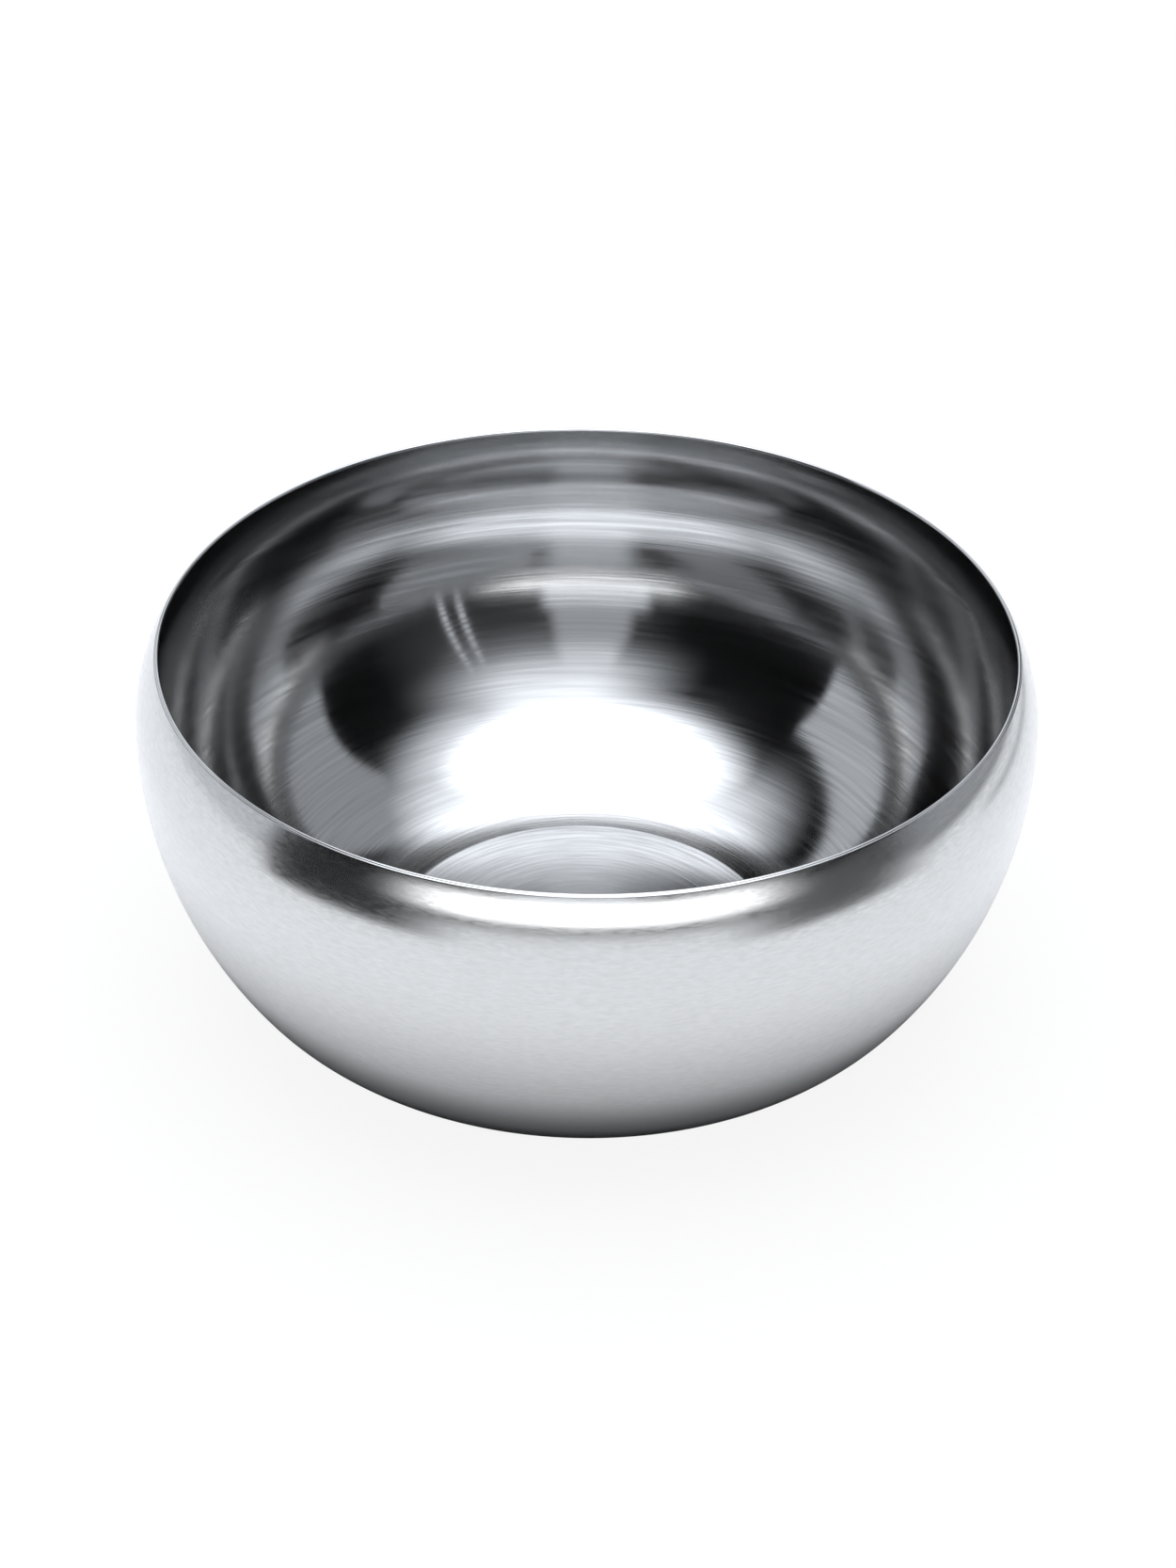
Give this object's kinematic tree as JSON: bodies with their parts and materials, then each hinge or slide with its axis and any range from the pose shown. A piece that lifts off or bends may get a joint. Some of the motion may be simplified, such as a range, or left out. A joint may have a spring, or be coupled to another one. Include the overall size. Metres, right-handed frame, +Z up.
{
  "type": "salad bowl",
  "caption": "Deep round salad bowl of double-wall stainless steel, satin outside and ring-brushed inside, with a flat base, a full belly and a lip that leans in.",
  "frame": {"origin": "centre of the flat base, on the surface that the bowl stands on", "axes": "+Z up along the bowl's axis of revolution; +X and +Y are equal, because the bowl is round, and -Y faces the pictured side"},
  "size_m": [0.24, 0.24, 0.1051],
  "materials": {
    "stainless_steel_outside": "fine satin",
    "stainless_steel_inside": "ring-brushed polish"
  },
  "bodies": {
    "root": {"bowl_shell": "stainless_steel_outside", "inner_basin": "stainless_steel_inside"}
  },
  "joints": []
}
